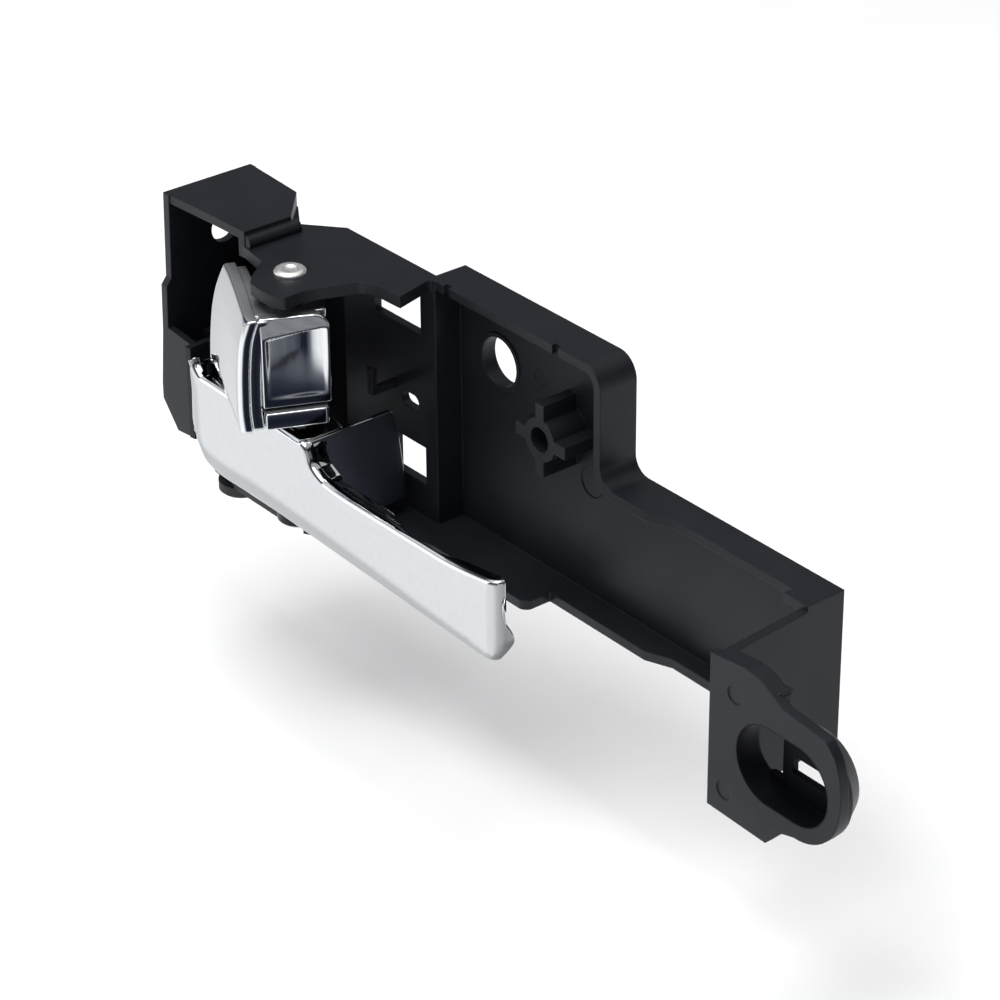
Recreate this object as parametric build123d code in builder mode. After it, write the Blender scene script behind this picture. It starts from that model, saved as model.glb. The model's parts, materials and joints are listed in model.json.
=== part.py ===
from build123d import *
import math
import os

os.makedirs("parts", exist_ok=True)

# ---------------------------------------------------------------- dimensions
# The origin is the axis of the screw boss on the rear face of the web.
# The pivot axis (top face of the pivot plate) lies here in that frame:
PX, PY, PZ = -58.2, -29.5, 20.9

WALL = 2.0            # general wall of the moulding
WEB_BACK = 29.5       # rear face of the channel web
WEB_FRONT = 26.5      # front face of the channel web
LIP = 20.1            # front edge of the channel flanges
CH_L, CH_R = 20.4, 133.4      # channel left and right
CH_STEP = 74.0                # step in the channel's upper edge
CH_LOW = -25.3                # upper edge right of the step
FLOOR = -59.0                 # underside of the moulding
FLOOR_TOP = -56.9
BLOCK_L = -42.6               # left end of the moulding
CAP_TOP, CAP_UNDER = 3.5, 1.5
PLATE = -2.6                  # underside of the pivot plate

BOSS_X, BOSS_Z = 58.2, -20.9  # screw boss
BOSS_HOLE_R = 2.7
BOSS_FRONT = 17.8
LOC_X, LOC_Z, LOC_R = 35.4, -15.4, 5.5   # locating hole

PIN_R = 2.0
PIN_HOLE_R = 2.05
PIN_HEAD_R = 3.4

FACE = -8.7           # front face of the pull lever
SKIN = 2.7            # its front wall
ROT = 25.0            # lock lever stands turned by this angle about the pin
BUFFER = (-24.0, 2.0)
BUFFER_R = 5.2


def top(z):
    """Plane parallel to XY, seen from above, at height z from the pivot plate."""
    return Plane(origin=(PX, PY, PZ + z))


def front(y):
    """Plane parallel to XZ, seen from the front, at depth y behind the pin."""
    return Plane(origin=(PX, PY + y, PZ), x_dir=(1, 0, 0), z_dir=(0, -1, 0))


def side(x):
    """Plane parallel to YZ, seen from the right, at distance x from the pin."""
    return Plane(origin=(PX + x, PY, PZ), x_dir=(0, 1, 0), z_dir=(1, 0, 0))


CR, SR = math.cos(math.radians(ROT)), math.sin(math.radians(ROT))


def lock_top(z):
    """Plane of the lock lever, seen from above, turned with it."""
    return Plane(origin=(PX, PY, PZ + z), x_dir=(CR, -SR, 0), z_dir=(0, 0, 1))


def lock_side(u):
    """Plane across the lock lever at distance u along its width."""
    return Plane(origin=(PX + u * CR, PY - u * SR, PZ), x_dir=(SR, CR, 0), z_dir=(CR, -SR, 0))


def lock_front(v):
    """Plane along the lock lever at depth v."""
    return Plane(origin=(PX + v * SR, PY + v * CR, PZ), x_dir=(CR, -SR, 0), z_dir=(-SR, -CR, 0))


# ------------------------------------------------------------------- housing
# leaning apron that closes the lower left corner, flush with the left wall's edge
with BuildPart() as apron:
    with BuildSketch(side(BLOCK_L)):
        with BuildLine():
            Polyline((-4.06, -27.0), (-4.1, -28.5), (-5.0, -41.0), (-5.0, -52.0), (-3.4, -52.0), (-3.4, -41.0),
                     (-2.5, -28.5), (-2.46, -27.0), close=True)
        make_face()
    extrude(amount=11.2)
    with BuildSketch(front(0)):
        with BuildLine():
            Polyline((BLOCK_L, -27.0), (-38.1, -27.4), (-31.4, -28.0), (-31.4, -50.0), (-37.5, -50.6),
                     (BLOCK_L, -44.6), close=True)
        make_face()
    extrude(amount=8, mode=Mode.INTERSECT)

with BuildPart() as housing:
    # channel on the right: web with a perimeter flange
    with BuildSketch(front(WEB_BACK)) as s1:
        with BuildLine():
            Polyline((CH_L, FLOOR), (CH_R, FLOOR), (CH_R, CH_LOW), (CH_STEP, CH_LOW),
                     (CH_STEP, 0), (CH_L, 0), close=True)
        make_face()
        fillet(s1.vertices().sort_by_distance((CH_STEP, CH_LOW, 0))[0], 4)
        fillet(s1.vertices().sort_by_distance((CH_STEP, 0, 0))[0], 5)
    extrude(amount=WEB_BACK - LIP)
    with BuildSketch(front(WEB_FRONT)) as s2:
        with BuildLine():
            Polyline((CH_L + WALL, FLOOR_TOP), (CH_R - WALL, FLOOR_TOP), (CH_R - WALL, CH_LOW - WALL),
                     (CH_STEP - WALL, CH_LOW - WALL), (CH_STEP - WALL, -WALL), (CH_L + WALL, -WALL), close=True)
        make_face()
        fillet(s2.vertices().sort_by_distance((CH_STEP - WALL, CH_LOW - WALL, 0))[0], 6)
        fillet(s2.vertices().sort_by_distance((CH_STEP - WALL, -WALL, 0))[0], 3)
    extrude(amount=8, mode=Mode.SUBTRACT)
    # recess in the flanges' front edge, with a slanted start and a sharp end
    with BuildSketch(top(FLOOR - 1)):
        with BuildLine():
            Polyline((88.0, 19.0), (88.0, 20.1), (93.9, 22.4), (126.8, 22.4), (126.8, 19.0), close=True)
        make_face()
    extrude(amount=40, mode=Mode.SUBTRACT)
    # small notches in the top flange
    with BuildSketch(top(-WALL - 0.5)):
        with Locations((25.9, LIP), (60.3, LIP)):
            Rectangle(1.8, 2.4)
    extrude(amount=4, mode=Mode.SUBTRACT)

    # back wall of the left section, with the V-shaped fold behind the cap
    with BuildSketch(top(FLOOR)):
        with BuildLine():
            Polyline((BLOCK_L, 20.7), (-24.5, 20.0), (-17.3, 15.2), (-9.4, 21.7), (CH_L + WALL, 21.9),
                     (CH_L + WALL, 19.9), (-8.7, 19.7), (-17.2, 12.7), (-25.1, 18.0), (BLOCK_L, 18.7), close=True)
        make_face()
    extrude(amount=-FLOOR)
    # cap of the left block, open below and to the front
    with BuildSketch(top(PLATE)):
        with BuildLine():
            Polyline((BLOCK_L, -1.9), (-28.7, -0.9), (-15.5, -0.3), (-15.5, 11.7), (-24.5, 19.7),
                     (BLOCK_L, 20.7), close=True)
        make_face()
    extrude(amount=CAP_TOP - PLATE)
    with BuildSketch(top(PLATE - 1)):
        with BuildLine():
            Polyline((BLOCK_L + WALL, -8), (-17.5, -8), (-17.5, 10.9), (-25.3, 17.8), (BLOCK_L + WALL, 18.7), close=True)
        make_face()
    extrude(amount=CAP_UNDER - PLATE + 1, mode=Mode.SUBTRACT)
    # left wall with its stepped front edge and round bottom corner
    with BuildSketch(side(BLOCK_L)):
        with BuildLine():
            Polyline((20.7, CAP_TOP), (-2.0, CAP_TOP), (-2.5, -15.9), (-3.8, -17.6), (-4.1, -28.5), (-5.0, -41.0), (-5.0, -44.6))
            Spline((-5.0, -44.6), (-3.2, -48.4), (0.6, -53.1), (3.6, -56.4), (8.0, -59.0))
            Polyline((8.0, -59.0), (20.7, -59.0), (20.7, CAP_TOP))
        make_face()
    extrude(amount=WALL)
    # round rib where the cap meets the pivot plate
    with BuildSketch(front(13.2)):
        with Locations((-15.4, 0.9)):
            Circle(1.6)
    extrude(amount=13.3)
    # pivot plate
    with BuildSketch(top(PLATE)) as s3:
        with BuildLine():
            Polyline((-17.5, -0.4), (-15.5, -0.3), (-7.5, -1.6), (-3.8, -6.8), (-1.1, -9.2), (3.5, -9.6),
                     (7.4, -9.2), (9.1, -8.2), (8.8, -3.9), (9.9, 0.3), (11.4, 4.2), (13.1, 8.5), (17.3, 9.9),
                     (23.5, 10.2), (21.2, 18.9), (22.4, 21.9), (-9.4, 21.7), (-17.3, 15.2), close=True)
        make_face()
        fillet(s3.vertices().sort_by_distance((-3.8, -6.8, 0))[0], 3.5)
        fillet(s3.vertices().sort_by_distance((-7.5, -1.6, 0))[0], 2.5)
        fillet(s3.vertices().sort_by_distance((9.1, -8.2, 0))[0], 1.0)
        fillet(s3.vertices().sort_by_distance((13.1, 8.5, 0))[0], 2.0)
        fillet(s3.vertices().sort_by_distance((21.2, 18.9, 0))[0], 2.0)
    extrude(amount=-PLATE)
    # floor of the left section and its lip under the channel
    with BuildSketch(top(FLOOR)) as s4:
        with BuildLine():
            Polyline((BLOCK_L, 8.0), (-38.0, 3.0), (-30.0, -1.0), (-20.0, -2.4), (4.0, -2.4), (12.0, 2.0),
                     (20.0, 10.5), (28.0, 13.5), (58.7, 13.5), (58.7, 20.1), (61.0, 22.4), (61.0, 28.0),
                     (CH_L, 28.0), (CH_L, 21.0), (-9.4, 21.0), (-17.3, 14.6), (-24.5, 19.6), (BLOCK_L, 20.2),
                     close=True)
        make_face()
        fillet(s4.vertices().sort_by_distance((58.7, 13.5, 0))[0], 2.0)
        fillet(s4.vertices().sort_by_distance((58.7, 20.1, 0))[0], 1.5)
        fillet(s4.vertices().sort_by_distance((12.0, 2.0, 0))[0], 5.0)
        fillet(s4.vertices().sort_by_distance((28.0, 13.5, 0))[0], 5.0)
    extrude(amount=FLOOR_TOP - FLOOR)
    # small bracket on the back wall
    with BuildSketch(side(8.2)):
        with BuildLine():
            Polyline((20.5, -29.0), (12.8, -29.0), (12.8, -22.8), (14.0, -22.8), (14.0, -27.5), (20.5, -27.5), close=True)
        make_face()
    extrude(amount=1.6)
    # seat of the pin's lower end, raised inside and counterbored below
    with BuildSketch(top(-57.3)):
        Circle(4.8)
    extrude(amount=2.5)
    with BuildSketch(top(FLOOR - 1)):
        Circle(4.8)
    extrude(amount=2.7, mode=Mode.SUBTRACT)
    # apron at the lower left, and the curved guide behind it that the lever's end clears
    add(apron.part)
    with BuildSketch(top(-50.0)):
        with BuildLine():
            a0, a1 = math.radians(189.5), math.radians(163.0)
            am = (a0 + a1) / 2
            ThreePointArc((31.2 * math.cos(a0), 31.2 * math.sin(a0)), (31.2 * math.cos(am), 31.2 * math.sin(am)),
                          (31.2 * math.cos(a1), 31.2 * math.sin(a1)))
            Line((31.2 * math.cos(a1), 31.2 * math.sin(a1)), (32.8 * math.cos(a1), 32.8 * math.sin(a1)))
            ThreePointArc((32.8 * math.cos(a1), 32.8 * math.sin(a1)), (32.8 * math.cos(am), 32.8 * math.sin(am)),
                          (32.8 * math.cos(a0), 32.8 * math.sin(a0)))
            Line((32.8 * math.cos(a0), 32.8 * math.sin(a0)), (31.2 * math.cos(a0), 31.2 * math.sin(a0)))
        make_face()
    extrude(amount=22.0)
    # floor gussets that tie the guide to the left wall and the floor
    with BuildSketch(top(FLOOR_TOP - 0.5)):
        with BuildLine():
            Polyline((-41.6, 5.0), (-41.6, 7.0), (-30.2, 7.0), (-30.2, 5.0), close=True)
        make_face()
    extrude(amount=27.0)

    # end wall on the right
    with BuildSketch(side(CH_R - WALL)):
        with BuildLine():
            Polyline((-0.8, -28.1), (WEB_BACK, -26.0), (WEB_BACK, FLOOR), (-0.8, -60.6), close=True)
        make_face()
    extrude(amount=WALL)
    # tab with its slotted cup
    with BuildSketch(front(-0.1)) as s5:
        with BuildLine():
            Polyline((154.8, -55.8), (151.5, -56.7), (147.4, -61.0), (CH_R - WALL, -60.5), (CH_R - WALL, -27.2),
                     (140.6, -26.2), (144.6, -26.8), (151.1, -30.2), (157.3, -30.7), (162.0, -31.3), (164.4, -33.9))
            Spline((164.4, -33.9), (166.0, -38.5), (166.3, -44.3), (165.1, -49.4), (161.9, -53.4), (158.6, -55.2),
                   (154.8, -55.8))
        make_face()
        fillet(s5.vertices().sort_by_distance((151.1, -30.2, 0))[0], 2.0)
        fillet(s5.vertices().sort_by_distance((162.0, -31.3, 0))[0], 1.5)
    extrude(amount=2.1)
    with BuildSketch(front(1.6)):
        with BuildLine():
            Polyline((133.0, -27.1), (140.6, -26.2), (144.6, -26.8), (149.0, -29.1), (149.0, -30.7),
                     (144.2, -28.4), (140.4, -27.8), (133.0, -28.7), close=True)
        make_face()
    extrude(amount=3.8)
    with BuildSketch(front(2.2)):
        with Locations((147.9, -29.3)):
            Rectangle(1.8, 1.6)
    extrude(amount=3.0)
    with BuildSketch(Plane(origin=(PX, PY - 0.2, PZ), x_dir=(-1, 0, 0), z_dir=(0, 1, 0))):
        with Locations((-151.9, -44.3)):
            SlotCenterToCenter(5.8, 22.8)
    extrude(amount=1.3)
    with BuildSketch(Plane(origin=(PX, PY + 1.0, PZ), x_dir=(-1, 0, 0), z_dir=(0, 1, 0))):
        with Locations((-151.9, -44.3)):
            SlotCenterToCenter(5.8, 22.6)
    extrude(amount=4.0, taper=30)
    with BuildSketch(front(3.5)):
        with Locations((151.05, -44.3)):
            SlotCenterToCenter(7.5, 16.4)
    extrude(amount=8, mode=Mode.SUBTRACT)
    with BuildSketch(front(6.0)):
        with BuildLine():
            Polyline((136.0, -35.5), (145.5, -35.5), (145.5, -50.3), (136.0, -50.3), close=True)
        make_face()
        with Locations((151.05, -44.3)):
            SlotCenterToCenter(7.5, 16.4, mode=Mode.INTERSECT)
    extrude(amount=9, mode=Mode.SUBTRACT)
    with BuildSketch(front(6.0)):
        with BuildLine():
            Polyline((148.0, -47.6), (158.0, -47.6), (158.0, -43.8), (148.0, -43.8), close=True)
        make_face()
    extrude(amount=4, mode=Mode.SUBTRACT)

    # screw boss: tube and four ribs
    with BuildSketch(front(WEB_FRONT + 0.5)):
        with Locations((BOSS_X, BOSS_Z)):
            Circle(4.7)
        with Locations((BOSS_X + 0.2, BOSS_Z)):
            Rectangle(15.4, 2.6)
        with Locations((BOSS_X, BOSS_Z)):
            Rectangle(2.6, 16.0)
    extrude(amount=WEB_FRONT + 0.5 - BOSS_FRONT)
    with BuildSketch(front(WEB_BACK + 1)):
        with Locations((BOSS_X, BOSS_Z)):
            Circle(BOSS_HOLE_R)
    extrude(amount=20, mode=Mode.SUBTRACT)
    # locating hole with its raised rim
    with BuildSketch(front(WEB_FRONT + 0.5)):
        with Locations((LOC_X, LOC_Z)):
            Circle(LOC_R + 0.9)
    extrude(amount=0.9)
    with BuildSketch(front(WEB_BACK + 1)):
        with Locations((LOC_X, LOC_Z)):
            Circle(LOC_R)
    extrude(amount=6, mode=Mode.SUBTRACT)
    # shallow ejector marks
    with BuildSketch(front(WEB_FRONT + 0.2)):
        with Locations((48.0, -14.0)):
            Circle(1.8)
        with Locations((64.2, -31.0)):
            Circle(3.4)
    extrude(amount=1.0, mode=Mode.SUBTRACT)
    with BuildSketch(front(-2.0)):
        with Locations((138.2, -33.2), (135.9, -55.3)):
            Circle(2.0)
    extrude(amount=1.0, mode=Mode.SUBTRACT)
    # windows in the back wall, a small drain hole and the hole in the left wall
    with BuildSketch(front(23.0)):
        with BuildLine():
            Polyline((1.8, -14.1), (17.5, -14.1), (17.5, PLATE), (1.8, PLATE), close=True)
        make_face()
        with Locations((13.2, -44.6)):
            Rectangle(10.4, 8.8)
        with Locations((13.4, -30.9)):
            SlotOverall(5.9, 3.4)
    extrude(amount=4.5, mode=Mode.SUBTRACT)
    with BuildSketch(side(BLOCK_L - 1)):
        with Locations((12.0, -8.0)):
            Circle(3.5)
    extrude(amount=WALL + 2, mode=Mode.SUBTRACT)
    # hole for the buffer's stem
    with BuildSketch(top(FLOOR - 1)):
        with Locations(BUFFER):
            Circle(2.5)
    extrude(amount=5, mode=Mode.SUBTRACT)
    # holes for the pivot pin
    with BuildSketch(top(FLOOR - 1)):
        Circle(PIN_HOLE_R)
    extrude(amount=70, mode=Mode.SUBTRACT)
housing.part.label = "housing"
export_step(housing.part, "parts/housing.step")

# ----------------------------------------------------------------- pivot pin
PIN_END = -58.7
with BuildPart() as pivot_pin:
    with BuildSketch(top(PIN_END)):
        Circle(PIN_R)
    extrude(amount=-PIN_END)
    with BuildSketch(Plane(origin=(PX, PY, PZ), x_dir=(1, 0, 0), z_dir=(0, -1, 0))):
        with BuildLine():
            Line((0, 0), (PIN_HEAD_R, 0))
            Line((PIN_HEAD_R, 0), (PIN_HEAD_R, 0.35))
            Spline((PIN_HEAD_R, 0.35), (3.0, 0.8), (2.2, 1.0), (1.5, 0.95))
            Polyline((1.5, 0.95), (1.2, 0.65), (0, 0.65), (0, 0))
        make_face()
    revolve(axis=Axis((PX, PY, PZ), (0, 0, 1)))
pivot_pin.part.label = "pivot_pin"
export_step(pivot_pin.part, "parts/pivot_pin.step")

# push-on washer on the pin's lower end: slightly dished ring
with BuildPart() as pin_retainer:
    with BuildSketch(Plane(origin=(PX, PY, PZ), x_dir=(1, 0, 0), z_dir=(0, -1, 0))):
        with BuildLine():
            Polyline((PIN_R + 0.02, -57.75), (4.3, -57.3), (4.3, -57.8), (PIN_R + 0.02, -58.25), close=True)
        make_face()
    revolve(axis=Axis((PX, PY, PZ), (0, 0, 1)))
pin_retainer.part.label = "pin_retainer"
export_step(pin_retainer.part, "parts/pin_retainer.step")

# friction washer between the pivot plate and the lock lever
with BuildPart() as friction_washer:
    with BuildSketch(top(PLATE - 0.7)):
        Circle(4.6)
        Circle(PIN_HOLE_R + 0.05, mode=Mode.SUBTRACT)
    extrude(amount=0.7)
friction_washer.part.label = "friction_washer"
export_step(friction_washer.part, "parts/friction_washer.step")

# -------------------------------------------------------------- rubber buffer
with BuildPart() as rubber_buffer:
    with BuildSketch(Plane(origin=(PX + BUFFER[0], PY + BUFFER[1], PZ), x_dir=(1, 0, 0), z_dir=(0, -1, 0))):
        with BuildLine():
            Polyline((0, -61.6), (4.7, -61.6), (BUFFER_R, -61.1), (BUFFER_R, FLOOR), (2.4, FLOOR), (2.4, FLOOR_TOP),
                     (3.3, FLOOR_TOP), (2.0, -55.2), (0, -55.2), close=True)
        make_face()
    revolve(axis=Axis((PX + BUFFER[0], PY + BUFFER[1], PZ), (0, 0, 1)))
rubber_buffer.part.label = "rubber_buffer"
export_step(rubber_buffer.part, "parts/rubber_buffer.step")

# ---------------------------------------------------------------- pull lever
# upper edge of the visible face, from the left tip over the knee to the right end
KNEE = [(13.2, -31.1), (14.9, -32.1), (16.5, -35.2), (19.8, -37.0), (28.5, -37.9)]
ARM_TOP, ARM_LOW = -31.0, -51.2       # upper arm's top, lower arm's top

with BuildPart() as pull_lever:
    # front shell: outline of the visible face
    with BuildSketch(front(FACE + SKIN + 0.3)):
        with BuildLine():
            Line((-26.9, -28.3), (-25.7, -27.3))
            Spline((-25.7, -27.3), (-24.9, -28.9), (-22.6, -30.5), tangents=((0.1, -1), (35.8, -0.6)))
            Line((-22.6, -30.5), (13.2, -31.1))
            Spline(*KNEE, tangents=((35.8, -0.6), (31.5, 0.2)))
            Line((28.5, -37.9), (60.0, -37.7))
            Spline((60.0, -37.7), (68.0, -37.0), (76.2, -35.9), tangents=((31.5, 0.2), (1, 0.14)))
            Spline((76.2, -35.9), (76.8, -36.6), tangents=((1, 0.14), (0, -1)))
            Line((76.8, -36.6), (76.8, -50.5))
            Spline((76.8, -50.5), (75.9, -53.6), (73.4, -54.9), tangents=((0, -1), (-1, 0.02)))
            Line((73.4, -54.9), (-4.0, -53.0))
            Spline((-4.0, -53.0), (-18.0, -53.4), (-24.1, -51.9), (-27.5, -48.4), (-28.4, -45.0),
                   tangents=((-1, 0.02), (0, 1)))
            Line((-28.4, -45.0), (-26.9, -28.3))
        make_face()
    extrude(amount=SKIN + 0.3)
    # rounded lower border of the face
    with BuildSketch(side(-40.0)):
        with BuildLine():
            Spline((-5.6, -55.6), (-7.2, -54.7), (-8.1, -52.9), (-8.55, -50.8), (FACE, -48.5),
                   tangents=((-1, 0.3), (0, 1)))
            Polyline((FACE, -48.5), (FACE, -25.0), (0.0, -25.0), (0.0, -55.6), (-5.6, -55.6))
        make_face()
    extrude(amount=130.0, mode=Mode.INTERSECT)
    # rounded left border and right end of the face
    with BuildSketch(top(-60.0)):
        with BuildLine():
            Spline((-28.6, -5.6), (-28.3, -7.0), (-26.6, -8.0), (-23.8, -8.55), (-20.5, FACE),
                   tangents=((0, -1), (1, 0)))
            Line((-20.5, FACE), (72.8, FACE))
            Spline((72.8, FACE), (75.4, -8.35), (76.5, -7.6), (76.8, -6.2), tangents=((1, 0), (0, 1)))
            Polyline((76.8, -6.2), (76.8, 0.0), (-28.6, 0.0), (-28.6, -5.6))
        make_face()
    extrude(amount=40.0, mode=Mode.INTERSECT)
    # returned rim of the left part, a tray open to the rear
    with BuildSketch(front(-2.4)):
        with BuildLine():
            Polyline((-26.7, -29.4), (-24.9, -30.2), (-22.0, -30.9), (13.2, -31.5), (14.0, -32.2), (14.3, -52.8),
                     (-18.0, -53.0), (-23.4, -51.5), (-26.8, -48.1), (-27.8, -45.5), close=True)
        make_face()
        with BuildLine():
            Polyline((-24.8, -32.4), (12.6, -33.1), (12.6, -51.0), (-17.5, -51.2), (-22.2, -49.9), (-25.0, -47.3),
                     (-25.9, -45.0), close=True)
        make_face(mode=Mode.SUBTRACT)
    extrude(amount=4.2)
    # deep ribbon under the knee
    with BuildSketch(front(-3.3)) as s9:
        with BuildLine():
            Line((12.9, -31.09), (13.2, -31.1))
            Spline(*KNEE, tangents=((35.8, -0.6), (31.5, 0.2)))
            Line((28.5, -37.9), (28.5, -39.6))
            Polyline((28.5, -39.6), (17.5, -39.6), (12.9, -36.0), (12.9, -31.09))
        make_face()
    extrude(amount=4.4)
    with BuildSketch(top(-41.0)):
        with BuildLine():
            Spline((19.6, -3.2), (21.0, -4.1), (23.5, -4.3), tangents=((0.2, -1), (1, 0)))
            Polyline((23.5, -4.3), (28.6, -4.3), (28.6, -3.0), (19.6, -3.0), (19.6, -3.2))
        make_face()
    extrude(amount=8.0, mode=Mode.SUBTRACT)
    # bead behind the grip's upper edge
    with BuildSketch(top(-39.9)):
        with BuildLine():
            Line((20.0, -6.4), (20.0, -4.2))
            Spline((20.0, -4.2), (24.0, -3.7), (36.0, -3.9), (40.6, -4.6), (41.9, -5.9),
                   tangents=((0.3, 1), (0, -1)))
            Polyline((41.9, -5.9), (41.9, -6.4), (20.0, -6.4))
        make_face()
    extrude(amount=1.75)
    # thicker end of the upper edge
    with BuildSketch(top(-41.0)):
        with BuildLine():
            Line((59.0, -6.4), (59.0, -6.05))
            Spline((59.0, -6.05), (64.0, -5.2), (70.0, -5.0), (75.9, -5.9), tangents=((1, 0), (0.6, -1)))
            Polyline((75.9, -5.9), (75.9, -6.4), (59.0, -6.4))
        make_face()
    extrude(amount=3.2)
    # flared lower edge of the grip
    with BuildSketch(side(13.5)):
        with BuildLine():
            Polyline((-6.2, -42.8), (-5.9, -44.4), (-5.3, -46.2), (-4.5, -47.8), (-3.7, -49.2), (-3.2, -50.3),
                     (-3.3, -51.2), (-3.9, -51.8), (-4.8, -52.2), (-6.2, -52.4), close=True)
        make_face()
    extrude(amount=62.3)
    # upper and lower arms round the pin, with their bosses
    with BuildSketch(top(ARM_TOP - 2.2)):
        with BuildLine():
            Polyline((-8.5, -6.4), (13.6, -6.4), (13.6, 2.6), (5.0, 3.6), (3.0, 4.5), (-3.0, 4.5), (-5.0, 2.0),
                     (-8.5, -2.4), close=True)
        make_face()
    extrude(amount=2.1)
    with BuildSketch(top(ARM_TOP - 2.2)):
        Circle(4.5)
    extrude(amount=3.6)
    with BuildSketch(top(ARM_LOW - 2.1)):
        with BuildLine():
            Polyline((-8.5, -6.4), (14.0, -6.4), (14.0, 14.5), (11.5, 14.5), (5.0, 4.6), (3.0, 5.2), (-3.0, 5.2),
                     (-5.0, 2.0), (-8.5, -2.4), close=True)
        make_face()
    extrude(amount=2.1)
    with BuildSketch(top(-54.3)):
        Circle(4.5)
    extrude(amount=3.3)
    # crank plate on the right of the pivot, with the eye for the pull cable
    with BuildSketch(side(12.9)) as s10:
        with BuildLine():
            Polyline((-6.4, -31.1), (14.4, -31.1), (16.1, -38.0), (17.0, -45.0), (17.6, -53.3), (-6.4, -53.3), close=True)
        make_face()
        fillet(s10.vertices().sort_by_distance((14.4, -31.1, 0))[0], 0.8)
        with Locations((11.8, -46.5)):
            Circle(2.2, mode=Mode.SUBTRACT)
    extrude(amount=1.6)
    # hook for the return spring's upper leg
    with BuildSketch(top(-40.0)):
        with Locations((-6.6, -4.6)):
            Rectangle(2.0, 3.8)
    extrude(amount=3.0)
    # pin bore
    with BuildSketch(top(-60)):
        Circle(PIN_HOLE_R)
    extrude(amount=36, mode=Mode.SUBTRACT)
pull_lever.part.label = "pull_lever"
export_step(pull_lever.part, "parts/pull_lever.step")

# --------------------------------------------------------------- return spring
# torsion spring of round wire about the pin, between the two arms
WIRE_R, COIL_R, PITCH, TURNS_H = 0.55, 3.5, 2.0, 14.0
COIL_Z = -49.6
with BuildPart() as return_spring:
    with BuildLine() as coil:
        Helix(pitch=PITCH, height=TURNS_H, radius=COIL_R, center=(PX, PY, PZ + COIL_Z))
    with BuildSketch(Plane(origin=coil.line @ 0, z_dir=coil.line % 0)):
        Circle(WIRE_R)
    sweep()
return_spring.part.label = "return_spring"
export_step(return_spring.part, "parts/return_spring.step")

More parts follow.
